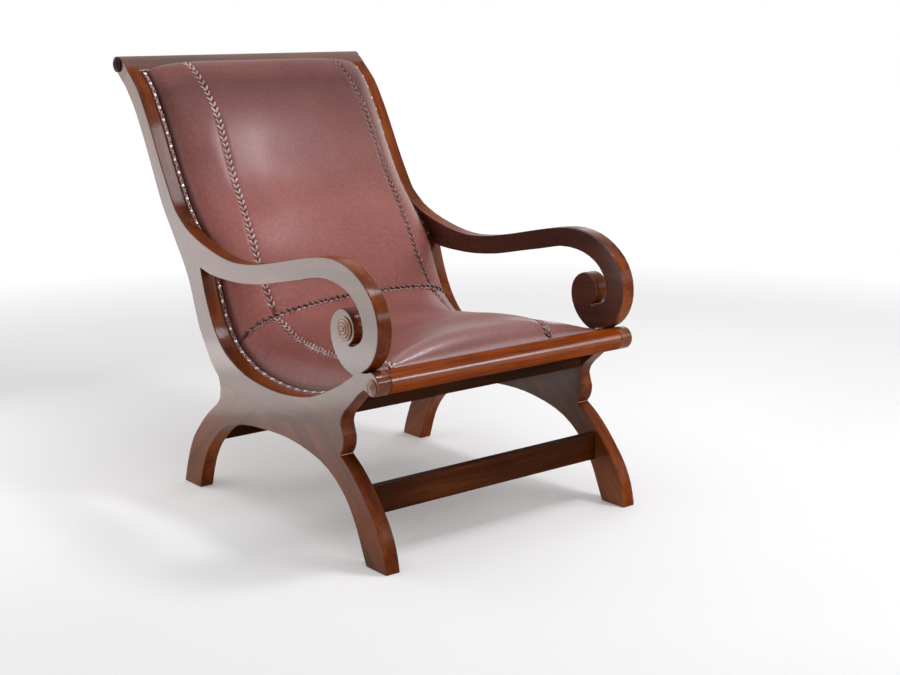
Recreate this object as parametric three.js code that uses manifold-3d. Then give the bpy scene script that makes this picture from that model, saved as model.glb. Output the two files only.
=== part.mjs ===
// Planters chair: two scrolled side frames joined by rails, with a stuffed leather seat and back
import * as THREE from "three";
import { mergeVertices } from "three/addons/utils/BufferGeometryUtils.js";
import Module from "manifold-3d";

const wasm = await Module();
wasm.setup();

// Driving sizes in millimetres: the front looks along -Y and the floor is at Z zero
const overallWidth = 690;
const overallDepth = 1095;
const overallHeight = 1010;
const boardThickness = 34;
const edgeRound = 2.4;
const jointGap = 0.3;
const sawOverrun = 5;
const noseRadius = 24.5;
const crestRollRadius = 19;

// Sizes of the rails and slats
const apronSize = { thickness: 20, width: 34 };
const stretcherSize = { thickness: 22, width: 60 };
const slatSize = { thickness: 14, width: 54 };
const tongueSize = { length: 12, thickness: 9, shoulder: 9 };
const railTenon = { radius: 10, length: 14 };
const dowelSize = { radius: 5, length: 26 };

// Sizes of the leather work
const padDepth = 14;
const padDrawIn = 5;
const padClearance = 0.35;
const joinClearance = 2;
const lacingWidth = 10;
const lacingRise = 3;
const lacingDepth = 8;
const channelDepth = 3.5;
const channelHalfWidth = 7;
const slatClearance = 2.2;

// Turned rosettes: face radius, and how far the rings stand out
const rosetteThickness = 5.5;
const crestRosetteRadius = 18.5;
const noseRosetteRadius = 17;
const eyeRosetteRadius = 25;

// How finely the curves are divided
const bevelSteps = 2;
const turnedSides = 24;
const dowelSides = 12;
const railSides = 36;
const arcSteps = 14;
const curveSteps = 2;
const tightCurveSteps = 3;
const straightSteps = 1;
const mergeTolerance = 1e-4;

const bothSides = 2;
const axisCount = 3;
const quarterTurn = Math.PI / 2;
const slatDrop = padDepth + slatSize.thickness / 2 + slatClearance;
const { degToRad } = THREE.MathUtils;

// Colours read from the wood and the leather
const woodMaterial = { color: "#5b2a1a", roughness: 0.32, metalness: 0 };
const darkWoodMaterial = { color: "#3a1a12", roughness: 0.35, metalness: 0 };
const hiddenWoodMaterial = { color: "#7a4a2e", roughness: 0.6, metalness: 0 };
const leatherMaterial = { color: "#7e4a45", roughness: 0.48, metalness: 0 };
const lacingMaterial = { color: "#6a3a35", roughness: 0.55, metalness: 0 };

// Outline of a side frame, as shares of the depth (from its middle) and of the height
const crestFootShares = [
  [0.4352, 0.9653], [0.463, 0.9386],
];
const crestFrontShares = [
  [0.4352, 0.9653], [0.4475, 0.9782], [0.462, 0.9905],
];
const crestRollShare = [0.4826, 0.9812];
const crestArcDegrees = { start: 122, end: -64 };
const postFrontShares = [
  [0.4425, 0.9732], [0.3968, 0.9277], [0.3667, 0.8792], [0.3411, 0.8317], [0.3091, 0.7644],
  [0.2863, 0.7198], [0.2616, 0.6752], [0.2479, 0.6535],
];
const armTopShares = [
  [0.2479, 0.6535], [0.2068, 0.6188], [0.1603, 0.596], [0.1064, 0.5782], [0.0498, 0.5653],
  [-0.0068, 0.5604], [-0.0781, 0.5663], [-0.1539, 0.5802], [-0.2279, 0.596], [-0.2991, 0.6089],
  [-0.3521, 0.6119], [-0.3986, 0.603], [-0.4361, 0.5842], [-0.4662, 0.5584], [-0.4854, 0.5267],
  [-0.4927, 0.4931], [-0.49, 0.4614], [-0.4781, 0.4327], [-0.458, 0.4099], [-0.4379, 0.3985],
];
const noseShare = [-0.4667, 0.3797];
const noseArcDegrees = { start: 62, end: 312 };
const underNoseShares = [
  [-0.4425, 0.3634], [-0.4251, 0.3505], [-0.3977, 0.3248], [-0.3804, 0.3089], [-0.3694, 0.295],
  [-0.3648, 0.2822],
];
const lipShares = [
  [-0.3648, 0.2822], [-0.3685, 0.2673], [-0.3731, 0.2525],
];
const coveShares = [
  [-0.3731, 0.2485], [-0.3712, 0.2347], [-0.3658, 0.2218], [-0.3612, 0.2158],
];
const frontShinShares = [
  [-0.3594, 0.2129], [-0.3913, 0.1891], [-0.4224, 0.1574], [-0.447, 0.1267], [-0.4671, 0.099],
  [-0.4845, 0.0653], [-0.4945, 0.0327], [-0.5, 0],
];
const archShares = [
  [-0.4352, 0], [-0.4251, 0.0248], [-0.4087, 0.0663], [-0.3913, 0.1], [-0.3721, 0.1277],
  [-0.3365, 0.1604], [-0.2881, 0.1851], [-0.2205, 0.201], [-0.1621, 0.2069], [-0.1009, 0.2059],
  [-0.0388, 0.202], [0.0114, 0.1941], [0.0543, 0.1812], [0.089, 0.1644], [0.1164, 0.1416],
  [0.142, 0.1168], [0.1612, 0.0911], [0.1758, 0.0634], [0.1877, 0.0317], [0.1977, 0],
];
const rearShinShares = [
  [0.268, 0], [0.2598, 0.0277], [0.2489, 0.0574], [0.2352, 0.0891], [0.2142, 0.1248],
  [0.1868, 0.1554], [0.1575, 0.1842], [0.1274, 0.2079], [0.1055, 0.2238], [0.0918, 0.2396],
];
const cuspShares = [
  [0.0918, 0.2396], [0.0881, 0.2634], [0.0927, 0.2881],
];
const postBackShares = [
  [0.0927, 0.2881], [0.1228, 0.3178], [0.1438, 0.3525], [0.1658, 0.3881], [0.1831, 0.4376],
  [0.1986, 0.4851], [0.2178, 0.5248], [0.247, 0.5693], [0.2799, 0.6178], [0.3082, 0.6614],
  [0.3338, 0.7149], [0.3667, 0.7871], [0.3913, 0.8366], [0.4224, 0.8911], [0.4694, 0.9485],
];

// Window between the arm and the seat, with the slot that winds into the scroll
const armUnderShares = [
  [0.1493, 0.5307], [0.1073, 0.5208], [0.0479, 0.5168], [-0.0151, 0.5168], [-0.0936, 0.5248],
  [-0.1721, 0.5406], [-0.2425, 0.5545], [-0.3046, 0.5673], [-0.3557, 0.5653], [-0.3941, 0.5535],
  [-0.4233, 0.5327], [-0.4397, 0.505], [-0.4443, 0.4792], [-0.4379, 0.4624], [-0.4251, 0.4525],
  [-0.4087, 0.4455], [-0.3995, 0.4465],
];
const eyeShares = [
  [-0.3995, 0.4465], [-0.4087, 0.4545], [-0.416, 0.4653], [-0.4178, 0.4802], [-0.4132, 0.497],
  [-0.4005, 0.5109], [-0.3813, 0.5168], [-0.3594, 0.5089], [-0.3447, 0.4921], [-0.3393, 0.4713],
  [-0.342, 0.4475], [-0.3539, 0.4228], [-0.3721, 0.404], [-0.3904, 0.3931], [-0.4096, 0.3871],
];
const railTopShares = [
  [-0.4096, 0.3871], [-0.3676, 0.3614], [-0.3265, 0.3406], [-0.2808, 0.3208], [-0.2269, 0.3069],
  [-0.153, 0.3], [-0.0854, 0.303], [-0.0187, 0.3139], [0.0388, 0.3376], [0.0753, 0.3644],
  [0.1055, 0.4059], [0.1265, 0.4535], [0.1393, 0.4931], [0.1493, 0.5307],
];
const eyeRosetteShare = [-0.3877, 0.4782];
const noseRosetteShare = [-0.469, 0.3747];

// Line that the leather follows along the frames, from the crest to the front rail
const sideLineShares = [
  [0.4345, 0.9644], [0.3968, 0.9277], [0.3667, 0.8792], [0.3411, 0.8317], [0.3091, 0.7644],
  [0.2863, 0.7198], [0.2479, 0.6535], [0.1986, 0.5901], [0.1621, 0.5446], [0.1429, 0.504],
  [0.1265, 0.4535], [0.1055, 0.4059], [0.0753, 0.3644], [0.0388, 0.3376], [-0.0187, 0.3139],
  [-0.0854, 0.303], [-0.153, 0.3], [-0.2269, 0.3069], [-0.2808, 0.3208], [-0.3265, 0.3406],
  [-0.3676, 0.3614], [-0.4096, 0.3861], [-0.4416, 0.399],
];

// Saw lines that part a side frame into its boards
const armSeamShares = [
  [0.2233, 0.6455], [0.2142, 0.6158], [0.1849, 0.5772], [0.1502, 0.5327], [0.1402, 0.5248],
];
const scrollSeamShares = [
  [-0.4452, 0.402], [-0.4379, 0.3982], [-0.4096, 0.3867], [-0.4023, 0.3842],
];
const postSeamShares = [
  [0.1027, 0.4277], [0.1895, 0.4079],
];
const legSeamShares = [
  [0.1073, 0.2812], [0.0479, 0.2693], [0.0005, 0.2594], [-0.0799, 0.2436], [-0.1712, 0.2406],
  [-0.2534, 0.2535], [-0.3265, 0.2812], [-0.3767, 0.3069], [-0.4178, 0.3267],
];
const archSeamShares = [
  [-0.1164, 0.19], [-0.1164, 0.24095],
];
const boardCentreShares = {
  back_post: [0.29, 0.68],
  arm: [-0.12, 0.51],
  seat_rail: [-0.15, 0.34],
  front_leg: [-0.31, 0.16],
  rear_leg: [0.08, 0.14],
};

// Places of the rails, as shares of the depth and the height
const apronShare = [-0.3657, 0.3178];
const frontStretcherShare = [-0.406, 0.1233];
const rearStretcherShare = [0.147, 0.155];

// Places and tilts of the hidden dowels
const dowelShares = {
  crest: { at: [0.4491, 0.952], tilt: 42 },
  arm: { at: [0.1749, 0.5644], tilt: 139 },
  scroll: { at: [-0.4238, 0.3925], tilt: 66 },
  front_leg: { at: [-0.2991, 0.2704], tilt: 70 },
  rear_leg: { at: [0.0205, 0.2636], tilt: 103 },
  arch: { at: [-0.1164, 0.2238], tilt: 0 },
};

// Slats, as shares of the side line
const slatShares = {
  back: [0.07, 0.165, 0.26, 0.355, 0.45],
  seat: [0.565, 0.64, 0.72, 0.8, 0.872],
};

// Stuffing: how far the leather crowns above the side line, at even steps from crest to front
const crownHeights = [44, 56, 60, 61, 62, 66, 76, 92, 113, 126, 123, 94, 42];
const crownShares = {
  back: { flatness: 5, roundness: 0.42, until: 0.5 },
  seat: { flatness: 2.6, roundness: 0.6, from: 0.66 },
  front: { roundness: 0.95, from: 0.84 },
};
const padEndShares = { crest: 0.003, joinMiddle: 0.512, joinEdge: 0.538, joinTilt: 0.015, front: 0.996 };
const joinDip = { depth: 9, reachShare: 0.03 };
const endRoll = { reach: 42, lift: 2, overhang: 22 };
const backRowShares = [
  0, 0.008, 0.024, 0.05, 0.1, 0.17, 0.25, 0.34, 0.43, 0.52, 0.61, 0.7, 0.79, 0.87, 0.93, 0.97, 1,
];
const seatRowShares = [
  0, 0.03, 0.07, 0.13, 0.21, 0.3, 0.39, 0.48, 0.57, 0.66, 0.75, 0.83, 0.9, 0.95, 0.978, 0.992, 1,
];

// Columns across the leather, as shares of its half width; both seams have a channel
const backSeamShares = { left: -0.68, right: 0.78 };
const seatSeamShares = { left: -0.79, right: 0.66 };
const outerColumnShares = [-1, -0.985, -0.94, -0.87];
const middleColumnShares = [-0.42, -0.2, 0.02, 0.24, 0.46];

const group = new THREE.Group();

function materialOf(look) {
  return new THREE.MeshStandardMaterial(look);
}

// A share pair becomes a point of the side plane
function place([depthShare, heightShare]) {
  return new THREE.Vector2(depthShare * overallDepth, heightShare * overallHeight);
}

function smooth(shares, stepsPerSpan = curveSteps) {
  const curve = new THREE.SplineCurve(shares.map(place));
  return curve.getPoints((shares.length - 1) * stepsPerSpan);
}

function arcAround(centre, radius, { start, end }) {
  const points = [];
  for (let step = 0; step <= arcSteps; step += 1) {
    const share = step / arcSteps;
    const angle = degToRad(start + (end - start) * share);
    const reach = new THREE.Vector2(Math.cos(angle), Math.sin(angle)).multiplyScalar(radius);
    points.push(reach.add(centre));
  }
  return points;
}

// Runs of points are joined, and a point that repeats the one before it is dropped
function chain(...runs) {
  const points = [];
  for (const point of runs.flat()) {
    const last = points[points.length - 1];
    if (!last || last.distanceTo(point) > jointGap) points.push(point);
  }
  if (points[0].distanceTo(points[points.length - 1]) <= jointGap) points.pop();
  return points;
}

function solidOf(geometry) {
  const bare = geometry.index ? geometry.toNonIndexed() : geometry.clone();
  bare.deleteAttribute("normal");
  bare.deleteAttribute("uv");
  const merged = mergeVertices(bare, mergeTolerance);
  const vertProperties = new Float32Array(merged.attributes.position.array);
  const triVerts = new Uint32Array(merged.index.array);
  return new wasm.Manifold(new wasm.Mesh({ numProp: axisCount, vertProperties, triVerts }));
}

function geometryOf(solid) {
  const mesh = solid.getMesh();
  const geometry = new THREE.BufferGeometry();
  geometry.setAttribute("position", new THREE.BufferAttribute(mesh.vertProperties, axisCount));
  geometry.setIndex(new THREE.BufferAttribute(mesh.triVerts, 1));
  geometry.computeVertexNormals();
  return geometry;
}

function addMesh(name, geometry, look) {
  const mesh = new THREE.Mesh(geometry, materialOf(look));
  mesh.name = name;
  group.add(mesh);
  return mesh;
}

function solidOfMesh(mesh) {
  mesh.updateMatrix();
  return solidOf(mesh.geometry.clone().applyMatrix4(mesh.matrix));
}

// An outline of the side plane is extruded across the chair
const sidewaysMatrix = new THREE.Matrix4().makeBasis(
  new THREE.Vector3(0, 1, 0),
  new THREE.Vector3(0, 0, 1),
  new THREE.Vector3(1, 0, 0),
);

function profileGeometry(outline, width, rounding = 0, windows = []) {
  const shape = new THREE.Shape(outline);
  shape.holes = windows.map((points) => new THREE.Path(points));
  const geometry = new THREE.ExtrudeGeometry(shape, {
    depth: width - rounding * bothSides,
    steps: 1,
    bevelEnabled: rounding > 0,
    bevelThickness: rounding,
    bevelSize: rounding,
    bevelOffset: -rounding,
    bevelSegments: bevelSteps,
  });
  geometry.translate(0, 0, rounding - width / 2);
  return geometry.applyMatrix4(sidewaysMatrix);
}

// A line and its normal at a share of its length; the normal points at the sitter
const sideLine = new THREE.SplineCurve(sideLineShares.map(place));
sideLine.arcLengthDivisions = sideLineShares.length * turnedSides;

function alongSide(share, rise) {
  const point = sideLine.getPointAt(share);
  const tangent = sideLine.getTangentAt(share);
  return new THREE.Vector2(point.x + tangent.y * rise, point.y - tangent.x * rise);
}

// Strip of a given width that follows a line, as an outline
function ribbon(line, riseAbove, dropBelow) {
  const rims = [riseAbove, -dropBelow].map((rise) =>
    line.map((point, index) => {
      const before = line[Math.max(index - 1, 0)];
      const after = line[Math.min(index + 1, line.length - 1)];
      const along = after.clone().sub(before).normalize();
      return new THREE.Vector2(point.x + along.y * rise, point.y - along.x * rise);
    }),
  );
  return [...rims[0], ...rims[1].reverse()];
}

function sawCut(shares, stepsPerSpan = curveSteps) {
  const outline = ribbon(smooth(shares, stepsPerSpan), jointGap / 2, jointGap / 2);
  return solidOf(profileGeometry(outline, overallWidth + sawOverrun * bothSides));
}

// Dowel or its hole, along a tilt in the side plane
function dowelMesh({ at, tilt }, x, grow) {
  const radius = dowelSize.radius + grow;
  const length = dowelSize.length + grow * bothSides;
  const mesh = new THREE.Mesh(new THREE.CylinderGeometry(radius, radius, length, dowelSides));
  const point = place(at);
  mesh.position.set(x, point.x, point.y);
  mesh.rotation.x = degToRad(tilt);
  return mesh;
}

// Board across the chair with a thinner tongue at both ends, or the room that its tongues need
function tongueBoard(size, grow) {
  const inside = overallWidth - boardThickness * bothSides - jointGap * bothSides;
  const reach = inside + tongueSize.length * bothSides + grow * bothSides;
  const tongue = new THREE.BoxGeometry(
    reach,
    tongueSize.thickness + grow * bothSides,
    size.width - tongueSize.shoulder * bothSides + grow * bothSides,
  );
  if (grow > 0) return tongue;
  const body = new THREE.BoxGeometry(inside, size.thickness, size.width);
  return geometryOf(solidOf(body).add(solidOf(tongue)));
}

function boardPlan(name, size, point, tilt) {
  return { name, size, point, tilt };
}

// Every board that crosses from frame to frame
const crossBoards = [
  boardPlan("front_apron", apronSize, place(apronShare), 0),
  boardPlan("front_stretcher", stretcherSize, place(frontStretcherShare), 0),
  boardPlan("rear_stretcher", stretcherSize, place(rearStretcherShare), 0),
];
for (const [part, shares] of Object.entries(slatShares)) {
  shares.forEach((share, index) => {
    const tangent = sideLine.getTangentAt(share);
    const tilt = Math.atan2(-tangent.x, tangent.y);
    const name = `${part}_slat_${index + 1}`;
    crossBoards.push(boardPlan(name, slatSize, alongSide(share, -slatDrop), tilt));
  });
}

function setBoard(mesh, plan) {
  mesh.position.set(0, plan.point.x, plan.point.y);
  mesh.rotation.x = plan.tilt;
  return mesh;
}

// Front rail: a round bar with a round tenon at both ends
function railProfile(grow) {
  const bar = overallWidth / 2 - boardThickness - jointGap;
  const end = bar + railTenon.length + grow;
  const thin = railTenon.radius + grow;
  const profile = [
    [0, -end], [thin, -end], [thin, -bar], [noseRadius, -bar],
    [noseRadius, bar], [thin, bar], [thin, end], [0, end],
  ];
  const tenonOnly = [[0, -end], [thin, -end], [thin, end], [0, end]];
  return (grow > 0 ? tenonOnly : profile).map(([x, y]) => new THREE.Vector2(x, y));
}

function railMesh(grow) {
  const mesh = new THREE.Mesh(new THREE.LatheGeometry(railProfile(grow), railSides));
  const point = place(noseShare);
  mesh.position.set(0, point.x, point.y);
  mesh.rotation.z = -quarterTurn;
  return mesh;
}

// Crest rail: a board that follows the posts and ends in a roll
const crestRoll = place(crestRollShare);
const crestOutline = chain(
  smooth(crestFrontShares, tightCurveSteps),
  arcAround(crestRoll, crestRollRadius, crestArcDegrees),
  crestFootShares.slice(1).map(place),
);
const crestGeometry = profileGeometry(crestOutline, overallWidth, edgeRound / 2);

// Side frame as one outline, sawn into its boards
const nosePoint = place(noseShare);
const frameOutline = chain(
  smooth(postFrontShares),
  smooth(armTopShares),
  arcAround(nosePoint, noseRadius, noseArcDegrees),
  underNoseShares.map(place).slice(0, bothSides),
  smooth(underNoseShares.slice(1)),
  smooth(lipShares),
  smooth(coveShares),
  smooth(frontShinShares),
  smooth(archShares),
  smooth(rearShinShares),
  smooth(cuspShares, tightCurveSteps),
  smooth(postBackShares),
);
const frameWindow = chain(
  smooth(armUnderShares),
  smooth(eyeShares),
  smooth(railTopShares),
);
const frameGeometry = profileGeometry(frameOutline, boardThickness, edgeRound, [frameWindow]);
const sawCuts = wasm.Manifold.union([
  sawCut(armSeamShares),
  sawCut(scrollSeamShares, straightSteps),
  sawCut(postSeamShares, straightSteps),
  sawCut(legSeamShares, tightCurveSteps),
  sawCut(archSeamShares, straightSteps),
]);

function nearestBoard(solid) {
  const { min, max } = solid.boundingBox();
  const corners = [min, max].map(([, depth, height]) => new THREE.Vector2(depth, height));
  const centre = corners[0].add(corners[1]).divideScalar(2);
  const names = Object.keys(boardCentreShares);
  const gapTo = (name) => place(boardCentreShares[name]).distanceTo(centre);
  return names.reduce((best, name) => (gapTo(name) < gapTo(best) ? name : best));
}

const sides = { left: -1, right: 1 };
const crestGap = place(crestFootShares[1]).sub(place(crestFootShares[0])).normalize();
const crestShift = crestGap.rotateAround(new THREE.Vector2(), -quarterTurn).multiplyScalar(jointGap);
let crestSolid = solidOf(crestGeometry);
for (const [sideName, side] of Object.entries(sides)) {
  const middle = (side * (overallWidth - boardThickness)) / 2;
  const holes = [solidOfMesh(railMesh(jointGap))];
  for (const plan of crossBoards) {
    const room = new THREE.Mesh(tongueBoard(plan.size, jointGap));
    holes.push(solidOfMesh(setBoard(room, plan)));
  }
  for (const [joint, plan] of Object.entries(dowelShares)) {
    holes.push(solidOfMesh(dowelMesh(plan, middle, jointGap)));
    const dowel = dowelMesh(plan, middle, 0);
    const mesh = addMesh(`${joint}_dowel_${sideName}`, dowel.geometry, hiddenWoodMaterial);
    mesh.position.copy(dowel.position);
    mesh.rotation.copy(dowel.rotation);
  }
  holes.push(crestSolid, crestSolid.translate([0, crestShift.x, crestShift.y]));
  const frame = solidOf(frameGeometry).translate([middle, 0, 0]);
  const boards = frame.subtract(sawCuts).subtract(wasm.Manifold.union(holes)).decompose();
  const largest = new Map();
  for (const board of boards) {
    const name = nearestBoard(board);
    const known = largest.get(name);
    if (!known || known.volume() < board.volume()) largest.set(name, board);
  }
  for (const [name, board] of largest) addMesh(`${name}_${sideName}`, geometryOf(board), woodMaterial);
}
for (const side of Object.values(sides)) {
  const middle = (side * (overallWidth - boardThickness)) / 2;
  crestSolid = crestSolid.subtract(solidOfMesh(dowelMesh(dowelShares.crest, middle, jointGap)));
}
addMesh("crest_rail", geometryOf(crestSolid), woodMaterial);

// Rails, stretchers and slats
const frontRail = railMesh(0);
const frontRailMesh = addMesh("front_rail", frontRail.geometry, woodMaterial);
frontRailMesh.position.copy(frontRail.position);
frontRailMesh.rotation.copy(frontRail.rotation);
for (const plan of crossBoards) {
  const look = plan.name.includes("slat") ? hiddenWoodMaterial : woodMaterial;
  setBoard(addMesh(plan.name, tongueBoard(plan.size, 0), look), plan);
}

// Turned rosettes: an outer bead, a groove, an inner bead and a button
const rosetteProfileShares = [
  [0, 0], [1, 0], [1, 0.45], [0.93, 0.75], [0.8, 0.75], [0.7, 0.36],
  [0.6, 0.36], [0.54, 0.7], [0.4, 0.75], [0.3, 0.42], [0.22, 0.8], [0, 1],
];

function addRosette(name, radius, share, side, overhang) {
  const profile = rosetteProfileShares.map(
    ([x, y]) => new THREE.Vector2(x * radius, y * rosetteThickness),
  );
  const mesh = addMesh(name, new THREE.LatheGeometry(profile, turnedSides), darkWoodMaterial);
  const point = place(share);
  mesh.position.set(side * (overallWidth / 2 + overhang), point.x, point.y);
  mesh.rotation.z = -side * quarterTurn;
}

for (const [sideName, side] of Object.entries(sides)) {
  addRosette(`crest_rosette_${sideName}`, crestRosetteRadius, crestRollShare, side, jointGap);
  addRosette(`nose_rosette_${sideName}`, noseRosetteRadius, noseRosetteShare, side, jointGap);
  addRosette(`scroll_rosette_${sideName}`, eyeRosetteRadius, eyeRosetteShare, side, jointGap);
}

// Laced edge of the leather, a band along each frame
const innerFace = overallWidth / 2 - boardThickness;
const lacingSteps = 46;
const lacingShares = { start: 0.004, end: 0.998 };
const lacingLine = [];
for (let step = 0; step <= lacingSteps; step += 1) {
  const share = lacingShares.start + ((lacingShares.end - lacingShares.start) * step) / lacingSteps;
  lacingLine.push(alongSide(share, 0));
}
const lacingOutline = ribbon(lacingLine, lacingRise, lacingDepth);
for (const [sideName, side] of Object.entries(sides)) {
  const geometry = profileGeometry(lacingOutline, lacingWidth, 0);
  const mesh = addMesh(`edge_lacing_${sideName}`, geometry, lacingMaterial);
  mesh.position.x = side * (innerFace - jointGap - lacingWidth / 2);
}

// Stuffed leather: a block whose top is crowned along and across, with a channel at each seam
const padHalfWidth = innerFace - jointGap * bothSides - lacingWidth - padClearance;
const sideLength = sideLine.getLength();
const crownCurve = new THREE.SplineCurve(
  crownHeights.map((height, index) => new THREE.Vector2(index, height)),
);

// The join bows upwards between the frames and leans to one side
function joinShareAt(across) {
  const { joinMiddle, joinEdge, joinTilt } = padEndShares;
  return joinMiddle + (joinEdge - joinMiddle) * across * across - joinTilt * across;
}

// Crown of the leather, and how far its rolled end leans over the crest
function crownAt(share, across) {
  const step = Math.abs(share - joinShareAt(across)) / joinDip.reachShare;
  const dip = joinDip.depth * Math.exp(-step * step);
  const toEnd = Math.min(share - padEndShares.crest, padEndShares.front - share);
  const depth = 1 - Math.min((toEnd * sideLength) / endRoll.reach, 1);
  const roll = Math.sqrt(1 - depth * depth);
  const { back, seat, front } = crownShares;
  const blend = THREE.MathUtils.smoothstep(share, back.until, seat.from);
  const flatness = THREE.MathUtils.lerp(back.flatness, seat.flatness, blend);
  const atFront = THREE.MathUtils.smoothstep(share, front.from, padEndShares.front);
  const seatRoundness = THREE.MathUtils.lerp(seat.roundness, front.roundness, atFront);
  const roundness = THREE.MathUtils.lerp(back.roundness, seatRoundness, blend);
  const swell = (1 - Math.abs(across) ** flatness) ** roundness;
  const lean = share < padEndShares.joinMiddle ? endRoll.overhang * depth * roll * swell : 0;
  return { height: endRoll.lift + (crownCurve.getPoint(share).y - dip) * swell * roll, lean };
}

function columnsFor(seams) {
  const channelShare = channelHalfWidth / padHalfWidth;
  const seamColumns = [seams.left, seams.right].flatMap((seam) => [
    seam - channelShare, seam, seam + channelShare,
  ]);
  const mirrored = outerColumnShares.map((share) => -share);
  return [...outerColumnShares, ...seamColumns, ...middleColumnShares, ...mirrored].sort(
    (first, second) => first - second,
  );
}

function padGeometry(rowShares, seams, shareAt) {
  const columns = columnsFor(seams);
  const columnCount = columns.length - 1;
  const rowCount = rowShares.length - 1;
  const geometry = new THREE.BoxGeometry(1, 1, 1, columnCount, 1, rowCount);
  geometry.computeBoundingBox();
  const start = geometry.boundingBox.min;
  const spots = geometry.attributes.position;
  for (let index = 0; index < spots.count; index += 1) {
    const across = columns[Math.round((spots.getX(index) - start.x) * columnCount)];
    const row = rowShares[Math.round((spots.getZ(index) - start.z) * rowCount)];
    const share = shareAt(row, across);
    const onTop = spots.getY(index) > 0;
    const crown = crownAt(share, across);
    const inChannel = across === seams.left || across === seams.right;
    const rise = crown.height - (inChannel ? Math.min(channelDepth, crown.height) : 0);
    const point = alongSide(share, onTop ? rise : -padDepth);
    if (onTop) point.sub(sideLine.getTangentAt(share).multiplyScalar(crown.lean));
    spots.setXYZ(index, across * (padHalfWidth - (onTop ? 0 : padDrawIn)), point.x, point.y);
  }
  return geometry;
}

const joinGapShare = joinClearance / sideLength;
const backLeather = padGeometry(backRowShares, backSeamShares, (row, across) => {
  const end = joinShareAt(across) - joinGapShare;
  return padEndShares.crest + (end - padEndShares.crest) * row;
});
const seatLeather = padGeometry(seatRowShares, seatSeamShares, (row, across) => {
  const start = joinShareAt(across) + joinGapShare;
  return start + (padEndShares.front - start) * row;
});
addMesh("back_leather", backLeather, leatherMaterial);
addMesh("seat_leather", seatLeather, leatherMaterial);

export default group;
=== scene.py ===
import itertools
import math

import bmesh
import bpy
import numpy as np
from mathutils.bvhtree import BVHTree
from mathutils import Matrix, Vector


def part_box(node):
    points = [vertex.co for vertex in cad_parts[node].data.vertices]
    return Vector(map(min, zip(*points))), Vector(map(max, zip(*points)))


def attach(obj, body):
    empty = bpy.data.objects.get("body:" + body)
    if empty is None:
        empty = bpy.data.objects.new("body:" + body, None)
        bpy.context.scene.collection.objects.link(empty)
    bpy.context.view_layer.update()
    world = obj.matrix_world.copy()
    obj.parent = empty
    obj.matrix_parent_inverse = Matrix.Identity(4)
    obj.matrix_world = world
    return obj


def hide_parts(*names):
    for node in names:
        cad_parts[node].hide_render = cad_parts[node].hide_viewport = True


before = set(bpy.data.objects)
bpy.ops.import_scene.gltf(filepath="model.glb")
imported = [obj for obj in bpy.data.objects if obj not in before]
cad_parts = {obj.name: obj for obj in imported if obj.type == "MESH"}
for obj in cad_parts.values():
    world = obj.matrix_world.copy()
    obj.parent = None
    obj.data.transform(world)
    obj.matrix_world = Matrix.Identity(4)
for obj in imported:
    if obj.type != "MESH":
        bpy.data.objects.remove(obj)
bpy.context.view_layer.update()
body = "root"
sideOf = {"left": -1, "right": 1}
chairSize = {"width": 0.690, "depth": 1.095, "height": 1.010, "board": 0.034}
innerFace = chairSize["width"] / 2 - chairSize["board"]


# One output socket of a node tree: sums on it add Math nodes
class Wire:
    def __init__(self, tree, socket):
        self.tree = tree
        self.socket = socket

    def mathNode(self, operation, *values):
        return self.tree.node("ShaderNodeMath", {"operation": operation}, dict(enumerate(values)))

    def __add__(self, other):
        return self.mathNode("ADD", self, other)

    def __sub__(self, other):
        return self.mathNode("SUBTRACT", self, other)

    def __rsub__(self, other):
        return self.mathNode("SUBTRACT", other, self)

    def __mul__(self, other):
        return self.mathNode("MULTIPLY", self, other)

    __radd__ = __add__
    __rmul__ = __mul__


# A node tree of a material or a modifier, and the one way nodes are added to it
class Tree:
    def __init__(self, tree):
        self.tree = tree
        tree.nodes.clear()

    def node(self, kind, settings=None, inputs=None, output=0):
        made = self.tree.nodes.new(kind)
        for name, value in (settings or {}).items():
            if name == "stops":
                self.setStops(made.color_ramp.elements, value)
            else:
                setattr(made, name, value)
        for name, value in (inputs or {}).items():
            if isinstance(value, Wire):
                self.tree.links.new(value.socket, made.inputs[name])
            else:
                made.inputs[name].default_value = value
        return Wire(self, made.outputs[output]) if made.outputs else made

    def setStops(self, elements, stops):
        while len(elements) < len(stops):
            elements.new(1)
        for element, (place, colour) in zip(elements, stops):
            element.position = place
            element.color = colour

    def mix(self, share, first, second, blend="MIX"):
        settings = {"data_type": "RGBA", "blend_type": blend}
        return self.node("ShaderNodeMix", settings, {0: share, 6: first, 7: second}, output=2)

    def spread(self, value, low, high, newLow=0.0, newHigh=1.0):
        inputs = {0: value, 1: low, 2: high, 3: newLow, 4: newHigh}
        return self.node("ShaderNodeMapRange", {"clamp": True}, inputs)

    def noise(self, where, scale, detail=3, roughness=0.5):
        inputs = {"Vector": where, "Scale": scale, "Detail": detail, "Roughness": roughness}
        return self.node("ShaderNodeTexNoise", {}, inputs)

    def objectCoords(self):
        return self.node("ShaderNodeTexCoord", output=3)

    def attribute(self, name):
        return self.node("ShaderNodeAttribute", {"attribute_name": name}, output=2)

    def bump(self, strength, depth, height):
        return self.node("ShaderNodeBump", {}, {"Strength": strength, "Distance": depth, "Height": height})


def rgba(red, green, blue):
    return (red, green, blue, 1.0)


# Settings of a look that are the same all over a surface, and the shader's sockets for them
plainSockets = {
    "coatRoughness": "Coat Roughness", "coatIor": "Coat IOR", "ior": "IOR", "specular": "Specular IOR Level",
    "metallic": "Metallic", "rough": "Roughness",
}


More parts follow.
